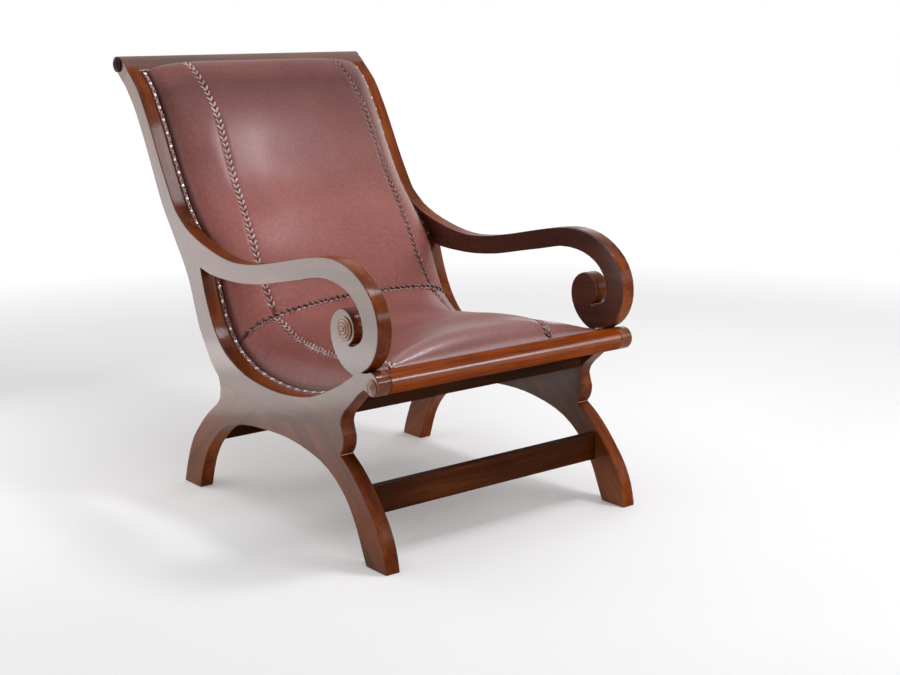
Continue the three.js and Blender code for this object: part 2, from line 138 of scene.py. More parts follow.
def newMaterial(name, look):
    material = bpy.data.materials.new(name)
    material.use_nodes = True
    tree = Tree(material.node_tree)
    shader = tree.tree.nodes.new("ShaderNodeBsdfPrincipled")
    for key, socket in plainSockets.items():
        if key in look:
            shader.inputs[socket].default_value = look[key]
    out = tree.tree.nodes.new("ShaderNodeOutputMaterial")
    tree.tree.links.new(shader.outputs[0], out.inputs[0])
    return material, tree, shader


def feed(tree, shader, links):
    for socket, wire in links.items():
        tree.tree.links.new(wire.socket, shader.inputs[socket])


# Polished wood: the grain runs along the X axis of a turned copy of the object's space
woodLook = {
    "face": (rgba(0.045, 0.012, 0.005), rgba(0.120, 0.032, 0.012), rgba(0.205, 0.060, 0.022)),
    "footFace": (rgba(0.095, 0.025, 0.006), rgba(0.180, 0.048, 0.012), rgba(0.270, 0.078, 0.022)),
    "edge": (rgba(0.050, 0.009, 0.0012), rgba(0.160, 0.030, 0.003), rgba(0.330, 0.076, 0.010)),
    "coat": (1.0, 0.07), "coatRoughness": 0.13, "coatIor": 1.8, "ior": 1.45, "specular": 0.08,
    "roughness": (0.26, 0.40), "bump": 0.12, "bumpDepth": 0.0003, "pores": 0.40,
    # Heights between which the feet are painted lighter and warmer, as painted light, and the top of the
    # chair less polished
    "foot": 1.0, "footReach": (0.36, 0.10), "footCoat": 0.22, "headReach": (0.62, 0.95), "headCoat": 0.62,
}
# Scales of the grain's noises, along the board and across it, and how they add up to its tone
grainLook = {
    "shift": (0.37, 0.21, 0.13), "bend": (2.2, 5.0, 5.0), "wander": 0.035, "along": (1.1, 26.0, 26.0),
    "fine": (7.0, 230.0, 230.0), "broad": 1.1, "pore": 2.4, "poreRange": (0.56, 0.72), "cloud": 5.0,
    "shares": (0.50, 0.20, 0.30), "toneRange": (0.36, 0.66), "streakRange": (0.3, 0.7), "streakRelief": 0.5,
}


# Three colours from dark to light, by tone
def ramp(tree, tone, colours):
    return tree.node("ShaderNodeValToRGB", {"stops": list(zip((0.0, 0.5, 1.0), colours))}, {0: tone})


def woodMaterial(name, turn, seed, look=woodLook):
    material, tree, shader = newMaterial(name, look)
    coords = tree.objectCoords()
    shift = [step * seed for step in grainLook["shift"]]
    turned = tree.node("ShaderNodeMapping", {}, {"Vector": coords, "Location": shift, "Rotation": turn})
    bend = tree.node("ShaderNodeMapping", {}, {"Vector": turned, "Scale": grainLook["bend"]})
    drift = tree.node("ShaderNodeTexNoise", {}, {"Vector": bend, "Scale": 1.0, "Detail": 2}, output=1)
    wander = tree.node("ShaderNodeVectorMath", {"operation": "SCALE"}, {0: drift, 3: grainLook["wander"]})
    wavy = tree.node("ShaderNodeVectorMath", {"operation": "ADD"}, {0: turned, 1: wander})
    along = tree.node("ShaderNodeMapping", {}, {"Vector": wavy, "Scale": grainLook["along"]})
    broad = tree.noise(along, grainLook["broad"], 4, 0.6)
    fine = tree.node("ShaderNodeMapping", {}, {"Vector": wavy, "Scale": grainLook["fine"]})
    streak = tree.noise(fine, 1.0, 3, 0.6)
    pores = tree.spread(tree.noise(fine, grainLook["pore"], 2, 0.5), *grainLook["poreRange"])
    cloud = tree.noise(turned, grainLook["cloud"], 2, 0.5)
    shares = grainLook["shares"]
    tone = broad * shares[0] + streak * shares[1] + cloud * shares[2]
    tone = tree.spread(tone, *grainLook["toneRange"])
    height = tree.node("ShaderNodeSeparateXYZ", {}, {0: coords}, output=2)
    # Low on the frame the faces are painted lighter and warmer, as painted light
    foot = tree.spread(height, *look["footReach"]) * look["foot"]
    face = tree.mix(foot, ramp(tree, tone, look["face"]), ramp(tree, tone, look["footFace"]))
    narrow = tree.attribute("narrowFace")
    colour = tree.mix(narrow, face, ramp(tree, tone, look["edge"]))
    colour = tree.mix(pores * look["pores"], colour, look["face"][0])
    rough = tree.spread(streak, *grainLook["streakRange"], *look["roughness"])
    coat = tree.spread(narrow, 0.0, 1.0, *look["coat"]) * tree.spread(foot, 0.0, 1.0, 1.0, look["footCoat"])
    coat = coat * tree.spread(height, *look["headReach"], 1.0, look["headCoat"])
    if "band" in look:
        # A round rail is polished along the band that the hand rubs
        middle, reach = look["band"]
        coat = coat * tree.spread(height, middle - reach, middle, look["dull"], 1.0)
        coat = coat * tree.spread(height, middle, middle + reach, 1.0, look["dull"])
    relief = streak * grainLook["streakRelief"] - pores
    normal = tree.bump(look["bump"], look["bumpDepth"], relief)
    feed(tree, shader, {"Base Color": colour, "Roughness": rough, "Coat Weight": coat, "Normal": normal})
    return material


# Leather: soft mottling, a pebbled grain, painted shade in the seams and at the nailed edge, and painted
# light and shade along and across the pad
leatherLook = {
    "deep": rgba(0.176, 0.055, 0.047), "main": rgba(0.233, 0.076, 0.065), "pale": rgba(0.292, 0.103, 0.090),
    "groove": rgba(0.040, 0.012, 0.010), "grooveReach": (0.15, 1.0), "grooveDark": 0.85,
    "roughness": (0.36, 0.46), "coat": (0.36, 0.46), "coatRoughness": 0.30, "ior": 1.46, "specular": 0.15,
    "mottle": 5.0, "speck": 120.0, "range": (0.30, 0.70), "grain": 900.0, "grainWall": 0.28, "crease": 55.0,
    "grainRelief": 0.35, "creaseRelief": 0.9, "bump": 0.35, "bumpDepth": 0.0006,
}


def leatherMaterial(name, look=leatherLook, grooves=True):
    material, tree, shader = newMaterial(name, look)
    coords = tree.objectCoords()
    mottle = tree.noise(coords, look["mottle"], 3, 0.5)
    speck = tree.noise(coords, look["speck"], 3, 0.6)
    cells = {"Vector": coords, "Scale": look["grain"]}
    cell = tree.node("ShaderNodeTexVoronoi", {"feature": "DISTANCE_TO_EDGE"}, cells)
    pebble = tree.spread(cell, 0.0, look["grainWall"])
    crease = tree.noise(coords, look["crease"], 3, 0.55)
    mixed = mottle * 0.5 + speck * 0.5
    colour = ramp(tree, tree.spread(mixed, *look["range"]), (look["deep"], look["main"], look["pale"]))
    coat = tree.spread(mottle, *look["range"], *look["coat"])
    if grooves:
        # Painted shade darkens the colour in the seam grooves, at the nailed edge and on the underside
        groove = tree.spread(tree.attribute("groove"), *look["grooveReach"], 0.0, look["grooveDark"])
        colour = tree.mix(groove, colour, look["groove"])
        # The colour is scaled by painted light and shade along and across the pad
        shade = {0: colour, 3: tree.attribute("shade")}
        colour = tree.node("ShaderNodeVectorMath", {"operation": "SCALE"}, shade)
        coat = coat * tree.attribute("polish")
    rough = tree.spread(mixed, *look["range"], *look["roughness"])
    height = pebble * look["grainRelief"] + crease * look["creaseRelief"]
    normal = tree.bump(look["bump"], look["bumpDepth"], height)
    feed(tree, shader, {"Base Color": colour, "Roughness": rough, "Normal": normal, "Coat Weight": coat})
    return material


nailLook = {
    "metal": rgba(0.96, 0.84, 0.75), "tarnish": rgba(0.34, 0.20, 0.14), "tarnishRange": (0.45, 0.75),
    "worn": 260.0, "wornRange": (0.3, 0.7), "roughness": (0.22, 0.38), "metallic": 1.0,
}


def nailMaterial(name, look=nailLook):
    material, tree, shader = newMaterial(name, look)
    worn = tree.noise(tree.objectCoords(), look["worn"], 3, 0.6)
    colour = tree.mix(tree.spread(worn, *look["tarnishRange"]), look["metal"], look["tarnish"])
    rough = tree.spread(worn, *look["wornRange"], *look["roughness"])
    feed(tree, shader, {"Base Color": colour, "Roughness": rough})
    return material


def newObject(name, data):
    made = bpy.data.objects.new(name, data)
    bpy.context.scene.collection.objects.link(made)
    return made


# Meshes are made from plain lists, with outward faces and the poles merged
def meshObject(name, points, faces, material, poles=0.0):
    mesh = bpy.data.meshes.new(name)
    mesh.from_pydata([tuple(point) for point in points], [], [tuple(face) for face in faces])
    work = bmesh.new()
    work.from_mesh(mesh)
    if poles:
        bmesh.ops.remove_doubles(work, verts=work.verts, dist=poles)
    bmesh.ops.recalc_face_normals(work, faces=work.faces)
    work.to_mesh(mesh)
    work.free()
    for polygon in mesh.polygons:
        polygon.use_smooth = True
    if material:
        mesh.materials.append(material)
    return newObject(name, mesh)


# Faces between neighbouring rings of points, and the two faces that close such a tube
def ringFaces(rings, sides, start=0):
    faces = []
    for ring in range(rings - 1):
        here, there = start + ring * sides, start + (ring + 1) * sides
        for step in range(sides):
            after = (step + 1) % sides
            faces.append((here + step, here + after, there + after, there + step))
    return faces


def capFaces(rings, sides, start=0):
    last = start + (rings - 1) * sides
    return [tuple(range(start, start + sides)), tuple(reversed(range(last, last + sides)))]


def tubeObject(name, rings, material):
    count, sides = rings.shape[:2]
    faces = ringFaces(count, sides) + capFaces(count, sides)
    return meshObject(name, rings.reshape(-1, 3), faces, material)


def dress(piece, slot, *nodes):
    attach(piece, body)
    if nodes:
        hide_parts(*nodes)
    return piece


# A wooden piece is a merged copy of its node, smooth on its curves and crisp at its arrises
boardLook = {
    "mergeDistance": 0.00002, "flatAngle": math.radians(0.4), "crispAngle": math.radians(50),
    "arris": 0.0014, "arrisSteps": 2, "arrisAngle": math.radians(60), "joint": 0.0003, "swell": 0.00016,
    "edgeNormal": 0.2, "noseReach": 0.030, "noseTone": 0.80, "turnedReach": 0.045,
}


# Depth and height of a rail that runs across the chair
def railMiddle(node):
    low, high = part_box(node)
    return ((low + high) / 2).yz


noseMiddle, crestMiddle = railMiddle("front_rail"), railMiddle("crest_rail")


# The surface of each other board in the same side frame, to find the arrises that are glued joints
def otherBoards(node):
    side = node.rsplit("_", 1)[-1]
    others = [f"{board}_{side}" for board in grainTilts if f"{board}_{side}" != node]
    found = []
    for other in others:
        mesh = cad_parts[other].data
        faces = [list(polygon.vertices) for polygon in mesh.polygons]
        found.append(BVHTree.FromPolygons([vertex.co for vertex in mesh.vertices], faces))
    return found


def markArrises(work, node):
    neighbours = otherBoards(node)
    layer = work.edges.layers.float.new("bevel_weight_edge")
    for edge in work.edges:
        if len(edge.link_faces) != 2 or edge.calc_face_angle() < boardLook["arrisAngle"]:
            continue
        narrowest = min(edge.link_faces, key=lambda face: abs(face.normal.x))
        middle = (edge.verts[0].co + edge.verts[1].co) / 2
        turned = min((Vector(middle.yz) - centre).length for centre in (noseMiddle, crestMiddle))
        if turned < boardLook["turnedReach"]:
            continue
        outside = middle + narrowest.normal * boardLook["joint"]
        if all(tree.find_nearest(outside, 2 * boardLook["joint"])[0] is None for tree in neighbours):
            edge[layer] = 1.0


# A node's name in the way of this script: back_post_left is backPostLeft
def pieceName(node):
    first, *others = node.split("_")
    return first + "".join(word.title() for word in others)


def copyBoard(node, material, arris, narrow, joined):
    work = bmesh.new()
    work.from_mesh(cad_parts[node].data)
    bmesh.ops.remove_doubles(work, verts=work.verts, dist=boardLook["mergeDistance"])
    bmesh.ops.dissolve_limit(work, angle_limit=boardLook["flatAngle"], verts=work.verts, edges=work.edges)
    work.normal_update()
    if joined:
        markArrises(work, node)
    # The boards swell a hair in their own plane, so that no light shows through a glued joint
    for vertex, normal in [(vertex, vertex.normal.copy()) for vertex in work.verts]:
        outward = Vector((0, normal.y, normal.z))
        if joined and outward.length > boardLook["edgeNormal"]:
            vertex.co += outward.normalized() * boardLook["swell"]
    mesh = bpy.data.meshes.new(pieceName(node))
    work.to_mesh(mesh)
    work.free()
    for polygon in mesh.polygons:
        polygon.use_smooth = True
    mesh.set_sharp_from_angle(angle=boardLook["crispAngle"])
    # Share of each face that is an edge of the board rather than its broad side
    shares = []
    for polygon in mesh.polygons:
        share = 1 - polygon.normal.x**2 if narrow is None else narrow
        nearNose = (Vector(polygon.center.yz) - noseMiddle).length < boardLook["noseReach"]
        shares.append(share * boardLook["noseTone"] if joined and nearNose else share)
    mesh.attributes.new("narrowFace", "FLOAT", "FACE").data.foreach_set("value", shares)
    mesh.materials.append(material)
    piece = newObject(pieceName(node), mesh)
    if arris:
        bevel = piece.modifiers.new("arris", "BEVEL")
        bevel.width = boardLook["arris"]
        bevel.segments = boardLook["arrisSteps"]
        bevel.limit_method = "WEIGHT" if joined else "ANGLE"
        bevel.angle_limit = boardLook["arrisAngle"]
        bevel.use_clamp_overlap = not joined
    weighted = piece.modifiers.new("flatNormals", "WEIGHTED_NORMAL")
    weighted.keep_sharp = True
    return piece


# Turn of the grain in each board of a side frame, in degrees about X, from the Y axis
grainTilts = {"back_post": 66, "arm": -4, "seat_rail": 4, "front_leg": 42, "rear_leg": -38}
# The right frame's wood is painted darker than the left's, as painted shade
paintedShadeFace = (rgba(0.020, 0.005, 0.002), rgba(0.056, 0.014, 0.004), rgba(0.105, 0.029, 0.009))
paintedShadeLook = dict(woodLook, face=paintedShadeFace)
sideLooks = {"left": woodLook, "right": paintedShadeLook}
# Polish gathers on the eased arrises, which shine brighter than the faces
arrisLook = dict(woodLook, coat=(1.0, 1.0), coatRoughness=0.2, specular=0.5, footCoat=1.0)
arrisWood = woodMaterial("arrisWood", (0, 0, math.radians(-90)), 0, arrisLook)
grainSeeds = itertools.count(1)


# A board of a side frame has a tilt, and one that runs across the chair has none
def addBoard(node, slot, look, tilt=None, arris=True, narrow=None):
    turn = (0, 0, 0) if tilt is None else (math.radians(-tilt), 0, math.radians(-90))
    material = woodMaterial(pieceName(node) + "Wood", turn, next(grainSeeds), look)
    return dress(copyBoard(node, material, arris, narrow, joined=tilt is not None), slot, node)


for sideName in sideOf:
    for board, tilt in grainTilts.items():
        piece = addBoard(f"{board}_{sideName}", "frame_wood", sideLooks[sideName], tilt)
        piece.data.materials.append(arrisWood)
        piece.modifiers["arris"].material = 1
# Boards across the chair: whether the arris is eased, and how much of the warm edge tone they show
plainLook = dict(woodLook, foot=0.0)
shadedLook = dict(
    plainLook, coat=(0.02, 0.02), specular=0.02,
    face=(rgba(0.014, 0.004, 0.001), rgba(0.038, 0.010, 0.003), rgba(0.075, 0.022, 0.006)),
)
railLook = dict(
    plainLook, coat=(0.85, 0.85), coatRoughness=0.20, specular=0.0,
    band=(noseMiddle[1] + 0.006, 0.010), dull=0.10,
    edge=(rgba(0.055, 0.010, 0.001), rgba(0.220, 0.037, 0.002), rgba(0.370, 0.075, 0.005)),
)
acrossBoards = {
    "crest_rail": (False, 0.15, plainLook), "front_rail": (False, 1.0, railLook),
    "front_apron": (True, 0.0, shadedLook), "front_stretcher": (True, 0.12, shadedLook),
    "rear_stretcher": (True, 0.12, shadedLook),
}
for node, (arris, narrow, look) in acrossBoards.items():
    addBoard(node, "frame_wood", look, None, arris, narrow)
slatLook = dict(
    plainLook, coat=(0.05, 0.05), roughness=(0.5, 0.7),
    face=(rgba(0.09, 0.035, 0.018), rgba(0.22, 0.10, 0.05), rgba(0.36, 0.19, 0.10)),
)
slatCount = 5
for part in ("back", "seat"):
    for number in range(1, slatCount + 1):
        addBoard(f"{part}_slat_{number}", "slat_wood", slatLook)
dowelSeed = next(grainSeeds)
dowelWood = woodMaterial("dowelWood", (0, 0, 0), dowelSeed, slatLook)
for node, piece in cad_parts.items():
    if "dowel" in node:
        piece.data.materials.clear()
        piece.data.materials.append(dowelWood)
print("stage: boards")


# Turned rosettes, rounder than their nodes
rosetteLook = {
    "profile": [
        (1.0, 0.0), (1.0, 0.22), (0.98, 0.34), (0.92, 0.42), (0.85, 0.38), (0.80, 0.22), (0.77, 0.22),
        (0.76, 0.44), (0.72, 0.60), (0.65, 0.66), (0.57, 0.58), (0.53, 0.42), (0.50, 0.42),
        (0.49, 0.66), (0.45, 0.80), (0.38, 0.84), (0.31, 0.76), (0.27, 0.62), (0.24, 0.62),
        (0.23, 0.82), (0.19, 0.94), (0.10, 1.0), (0.0, 1.0),
    ],
    "sides": 56, "proud": {"crest": 2.0, "nose": 1.15, "scroll": 1.35}, "pole": 1e-6,
}
turnedLook = dict(
    plainLook, coat=(1.0, 1.0),
    face=(rgba(0.090, 0.028, 0.011), rgba(0.250, 0.082, 0.030), rgba(0.42, 0.17, 0.07)),
)
darkTurnedLook = dict(
    turnedLook, coat=(0.12, 0.12),
    face=(rgba(0.020, 0.010, 0.008), rgba(0.045, 0.020, 0.015), rgba(0.080, 0.036, 0.028)),
)


def rosette(node, material, side, proud):
    low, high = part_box(node)
    centre = (low + high) / 2
    radius = (high.z - low.z) / 2
    thickness = (high.x - low.x) * proud
    base = low.x if side > 0 else high.x
    points = []
    sides = rosetteLook["sides"]
    rings = [(0.0, 0.0)] + rosetteLook["profile"]
    for share, rise in rings:
        for step in range(sides):
            angle = 2 * math.pi * step / sides
            points.append((base + side * rise * thickness, centre.y + share * radius * math.cos(angle),
                           centre.z + share * radius * math.sin(angle)))
    return meshObject(pieceName(node), points, ringFaces(len(rings), sides), material, rosetteLook["pole"])


# The dowels and the first rosette share a seed
rosetteSeeds = itertools.count(dowelSeed)
for sideName, side in sideOf.items():
    for place, proud in rosetteLook["proud"].items():
        look = darkTurnedLook if place == "crest" else turnedLook
        node = f"{place}_rosette_{sideName}"
        material = woodMaterial(pieceName(node) + "Wood", (0, math.radians(90), 0), next(rosetteSeeds), look)
        dress(rosette(node, material, side, proud), "turned_wood", node)
print("stage: rosettes")


# The line that the leather follows down both frames, as shares of the depth and the height
sideLineShares = [
    (0.4345, 0.9644), (0.3968, 0.9277), (0.3667, 0.8792), (0.3411, 0.8317), (0.3091, 0.7644),
    (0.2863, 0.7198), (0.2479, 0.6535), (0.1986, 0.5901), (0.1621, 0.5446), (0.1429, 0.504),
    (0.1265, 0.4535), (0.1055, 0.4059), (0.0753, 0.3644), (0.0388, 0.3376), (-0.0187, 0.3139),
    (-0.0854, 0.303), (-0.153, 0.3), (-0.2269, 0.3069), (-0.2808, 0.3208), (-0.3265, 0.3406),
    (-0.3676, 0.3614), (-0.4096, 0.3861), (-0.4416, 0.399),
]


def softCurve(controls, shares):
    controls = np.asarray(controls, float)
    last = len(controls) - 1
    at = np.clip(np.asarray(shares, float), 0, 1) * last
    start = np.minimum(at.astype(int), last - 1)
    t = (at - start).reshape(at.shape + (1,) * (controls.ndim - 1))
    p0 = controls[np.maximum(start - 1, 0)]
    p1 = controls[start]
    p2 = controls[start + 1]
    p3 = controls[np.minimum(start + 2, last)]
    v0, v1 = (p2 - p0) / 2, (p3 - p1) / 2
    return (2 * p1 - 2 * p2 + v0 + v1) * t**3 + (-3 * p1 + 3 * p2 - 2 * v0 - v1) * t**2 + v0 * t + p1


def unit(vectors):
    return vectors / np.maximum(np.linalg.norm(vectors, axis=-1, keepdims=True), 1e-9)


lineSamples = 2400
sideControls = np.array(sideLineShares) * (chairSize["depth"], chairSize["height"])
linePoints = softCurve(sideControls, np.linspace(0, 1, lineSamples))
lineSteps = np.linalg.norm(np.diff(linePoints, axis=0), axis=1)
lineShares = np.concatenate([[0], np.cumsum(lineSteps)])
lineLength = lineShares[-1]
lineShares = lineShares / lineLength
lineTangents = unit(np.gradient(linePoints, axis=0))


def readLine(table, share, shares=lineShares):
    return np.stack([np.interp(share, shares, column) for column in table.T], axis=-1)


# The stuffing evens out the small turns of that line under the middle of the leather.
# Each end is mirrored through its last point, so that the evened line keeps it.
evenReach, evenSteps = 0.020, 600
evenShares = np.linspace(0, 1, evenSteps + 1)
reachSteps = int(3 * evenReach * evenSteps)
evenWeights = np.exp(-0.5 * (np.arange(-reachSteps, reachSteps + 1) / (evenReach * evenSteps)) ** 2)
evenWeights /= evenWeights.sum()
along = readLine(linePoints, evenShares)
before = 2 * along[0] - along[reachSteps:0:-1]
after = 2 * along[-1] - along[-2:-reachSteps - 2:-1]
mirrored = np.concatenate([before, along, after])
evenPoints = np.stack([np.convolve(column, evenWeights, "valid") for column in mirrored.T], axis=-1)
evenTangents = unit(np.gradient(evenPoints, axis=0))


# Leather: heights of the crown above that line, from the crest to the front
padLook = {
    "crown": [0.044, 0.056, 0.060, 0.062, 0.065, 0.061, 0.076, 0.092, 0.113, 0.126, 0.124, 0.101, 0.044],
    "halfWidth": 0.30005, "depth": 0.014, "drawIn": 0.005, "flatness": (5.0, 2.6), "roundness": (0.42, 0.6),
    "blend": (0.5, 0.66), "dip": 0.009, "dipReach": 0.03, "rollReach": 0.042, "frontReach": 0.027,
    "lift": 0.002, "overhang": 0.022, "frontRoundness": 1.10, "frontFrom": 0.84, "frontEnd": 0.996,
    "fold": 0.0045, "foldAt": 0.080, "foldReach": (0.022, 0.060),
    "crestEnd": 0.003, "joinMiddle": 0.512, "joinEdge": 0.538, "joinTilt": 0.015, "joinGap": 0.0012,
    "columns": 200, "rows": 150, "bunching": 1.6, "channelDepth": 0.0040, "channelWidth": 0.0065,
    "inside": -0.02, "fill": 0.75,
}
# Places of the seams: share of the line, and share of the half width there
seamSmoothing = {"samples": 90, "passes": 5}
seamPaths = {
    "left": [(0, -0.71), (0.03, -0.69), (0.07, -0.65), (0.12, -0.635), (0.19, -0.655), (0.32, -0.695),
             (0.41, -0.745), (0.5, -0.742), (0.62, -0.738), (0.71, -0.78), (0.79, -0.82), (0.9, -0.86),
             (1, -0.905)],
    "right": [(0, 0.69), (0.03, 0.73), (0.07, 0.782), (0.12, 0.806), (0.2, 0.806), (0.3, 0.785),
              (0.38, 0.748), (0.44, 0.75), (0.5, 0.79), (0.6, 0.80), (0.75, 0.70), (0.9, 0.56), (1, 0.505)],
}


def joinShare(across):
    bow = (padLook["joinEdge"] - padLook["joinMiddle"]) * across**2
    return padLook["joinMiddle"] + bow - padLook["joinTilt"] * across


def seamAcross(seam, share):
    smoothShares = np.linspace(0, 1, seamSmoothing["samples"])
    table = np.interp(smoothShares, *zip(*seamPaths[seam]))
    for _ in range(seamSmoothing["passes"]):
        table[1:-1] = (table[:-2] + table[1:-1] + table[2:]) / 3
    return np.interp(share, smoothShares, table)


def easeBetween(value, low, high):
    step = np.clip((value - low) / (high - low), 0, 1)
    return step * step * (3 - 2 * step)


def hump(distance, reach):
    return np.exp(-(distance / reach) ** 2)


def wave(distance, pitch):
    return np.cos(2 * np.pi * distance / pitch)


def leatherPoint(across, share):
    dip = padLook["dip"] * hump(share - joinShare(across), padLook["dipReach"])
    crestRoll = (share - padLook["crestEnd"]) * lineLength / padLook["rollReach"]
    frontRoll = (padLook["frontEnd"] - share) * lineLength / padLook["frontReach"]
    depth = 1 - np.clip(np.minimum(crestRoll, frontRoll), 0, 1)
    roll = np.sqrt(1 - depth**2)
    low, high = padLook["blend"]
    step = easeBetween(share, low, high)
    atFront = easeBetween(share, padLook["frontFrom"], padLook["frontEnd"])
    (backFlat, seatFlat), (backRound, seatRound) = padLook["flatness"], padLook["roundness"]
    seatRound = seatRound + (padLook["frontRoundness"] - seatRound) * atFront
    flatness = backFlat + (seatFlat - backFlat) * step
    roundness = backRound + (seatRound - backRound) * step
    swell = (1 - np.clip(np.abs(across), 0, 1) ** flatness) ** roundness
    # A shallow fold runs across below the roll at the crest
    foldReach = np.where(share < padLook["foldAt"], *padLook["foldReach"])
    dip = dip + padLook["fold"] * hump(share - padLook["foldAt"], foldReach)
    rise = padLook["lift"] + (softCurve(padLook["crown"], share) - dip) * swell * roll
    lean = np.where(share < low, padLook["overhang"] * depth * roll * swell, 0)
    return raisedPoint(across * padLook["halfWidth"], share, rise, lean, swell)


def raisedPoint(x, share, rise, lean=0, even=0.0):
    even = np.asarray(even)[..., None]
    at = readLine(linePoints, share) * (1 - even) + readLine(evenPoints, share, evenShares) * even
    tangent = readLine(lineTangents, share) * (1 - even) + readLine(evenTangents, share, evenShares) * even
    y = at[..., 0] + tangent[..., 1] * rise - tangent[..., 0] * lean
    z = at[..., 1] - tangent[..., 0] * rise - tangent[..., 1] * lean
    return np.stack([np.broadcast_to(x, y.shape), y, z], axis=-1)


# Evenly spaced places from -1 to 1, drawn together towards both ends
def bunch(even):
    return np.sign(even) * (1 - (1 - np.abs(even)) ** padLook["bunching"])


# Shares of the line at which a pad starts and ends
def padEnds(part, across):
    join, gap = joinShare(across), padLook["joinGap"] / lineLength
    return (padLook["crestEnd"], join - gap) if part == "back" else (join + gap, padLook["frontEnd"])


def padRows(rows):
    return (bunch(np.linspace(-1, 1, rows + 1)) + 1) / 2


def padGrid(part, columns, rows):
    across, row = np.meshgrid(bunch(np.linspace(-1, 1, columns + 1)), padRows(rows))
    first, last = padEnds(part, across)
    return across, first + (last - first) * row


def gridNormals(points):
    return unit(np.cross(np.gradient(points, axis=1), np.gradient(points, axis=0)))


# Shell: the top grid, the flat underside drawn in at its edges, and the wall between them
def shellMesh(name, top, across, share, material):
    rows, columns = top.shape[:2]
    under = raisedPoint(across * (padLook["halfWidth"] - padLook["drawIn"]), share, -padLook["depth"])
    points = np.concatenate([top.reshape(-1, 3), under.reshape(-1, 3)])
    index = np.arange(rows * columns).reshape(rows, columns)
    quads = np.stack([index[:-1, :-1], index[:-1, 1:], index[1:, 1:], index[1:, :-1]], axis=-1).reshape(-1, 4)
    rim = np.concatenate([index[0, :-1], index[:-1, -1], index[-1, :0:-1], index[:0:-1, 0]])
    after = np.roll(rim, -1)
    shift = rows * columns
    wall = np.stack([rim, after, after + shift, rim + shift], axis=-1)
    faces = np.concatenate([quads, quads[:, ::-1] + shift, wall[:, ::-1]])
    return meshObject(name, points, faces.tolist(), material)


def distanceToSeams(across, share):
    nearest = np.full(across.shape, 1.0)
    for seam in seamPaths:
        nearest = np.minimum(nearest, np.abs(across - seamAcross(seam, share)) * padLook["halfWidth"])
    return np.minimum(nearest, np.abs(share - joinShare(across)) * lineLength)


# Cloth under pressure, held along its edges and its seams, puffs and creases the coarse grid
clothLook = {
    "columns": 76, "rows": 84, "frames": 20, "cap": 0.006, "pinReach": 0.007, "smoothPasses": 3,
    "cloth": {
        "quality": 5, "mass": 0.5, "tension_stiffness": 20, "compression_stiffness": 20,
        "shear_stiffness": 8, "bending_stiffness": 1.0, "use_pressure": True, "uniform_pressure_force": 3.0,
        "vertex_group_mass": "pins",
    },
}


def puff(part):
    across, share = padGrid(part, clothLook["columns"], clothLook["rows"])
    top = leatherPoint(across, share)
    shell = shellMesh(f"{part}Cloth", top, across, share, None)
    rows, columns = top.shape[:2]
    pins = shell.vertex_groups.new(name="pins")
    held = hump(distanceToSeams(across, share), clothLook["pinReach"])
    held[:2], held[-2:], held[:, :2], held[:, -2:] = 1, 1, 1, 1
    for number, weight in enumerate(held.ravel()):
        pins.add([number], float(weight), "REPLACE")
    pins.add(list(range(rows * columns, 2 * rows * columns)), 1.0, "REPLACE")
    cloth = shell.modifiers.new("puff", "CLOTH")
    for name, value in clothLook["cloth"].items():
        setattr(cloth.settings, name, value)
    cloth.settings.effector_weights.gravity = 0
    cloth.point_cache.frame_end = clothLook["frames"]
    scene = bpy.context.scene
    for number in range(1, clothLook["frames"] + 1):
        scene.frame_set(number)
    solved = shell.evaluated_get(bpy.context.evaluated_depsgraph_get())
    moved = np.array([vertex.co for vertex in solved.data.vertices])[: rows * columns].reshape(top.shape)
    scene.frame_set(1)
    bpy.data.objects.remove(shell)
    shift = moved - top
    size = np.linalg.norm(shift, axis=-1, keepdims=True)
    shift *= np.minimum(1, clothLook["cap"] / np.maximum(size, 1e-9))
    for _ in range(clothLook["smoothPasses"]):
        shift[1:-1] = (shift[:-2] + 2 * shift[1:-1] + shift[2:]) / 4
        shift[:, 1:-1] = (shift[:, :-2] + 2 * shift[:, 1:-1] + shift[:, 2:]) / 4
    return shift


# Weights that carry values from the coarse grid to the fine one, on smooth curves
def cubicWeights(coarse, fine):
    return softCurve(np.eye(coarse), np.linspace(0, 1, fine))


# Polish of the leather along the line, dull where the back bends, and painted light and shade on its colour:
# painted shade below the crest, painted light on the lower back
alongLeather = {
    "polish": ([0, 0.11, 0.17, 0.24, 0.31, 0.50, 0.56, 0.945, 0.98, 1],
               [0.45, 0.55, 1, 1, 0.35, 0.35, 0.34, 0.34, 2.2, 2.4]),
    "shade": ([0, 0.035, 0.065, 0.11, 0.2, 0.35, 0.5, 0.6, 1],
              [0.92, 0.84, 0.56, 0.76, 1.02, 1.36, 1.40, 1.15, 1.02]),
}
# Across the pad: more polish and painted light on the left, painted shade on the right
acrossLeather = {
    "polish": ([-1, -0.3, 0.4, 1], [1.3, 1.1, 0.8, 0.7]),
    "shade": ([-1, -0.6, 0.1, 0.8, 1], [1.06, 1.04, 1.0, 0.84, 0.84]),
}
# Small puckers, in metres: beside the seams, at the nails and above the front rail
puckerLook = {
    "seam": 0.0005, "seamPitch": 0.0155, "seamReach": 0.016,
    "nail": 0.0007, "nailPitch": 0.0335, "nailReach": 0.012,
    "front": 0.0012, "frontPitch": 0.024, "frontReach": 0.009, "leftShare": 0.1, "rightFrom": (0.35, 0.7),
    "fade": 0.006,
}
# Painted shade in the grooves at the seams, at the nailed edge and on the underside
paintedGrooveShadeLook = {"seamReach": 0.0065, "edge": 0.8, "edgeReach": 0.004, "under": 0.6}


def setPointValues(piece, name, top, under):
    values = np.concatenate([top.ravel(), under.ravel()]).astype(np.float32)
    piece.data.attributes.new(name, "FLOAT", "POINT").data.foreach_set("value", values)


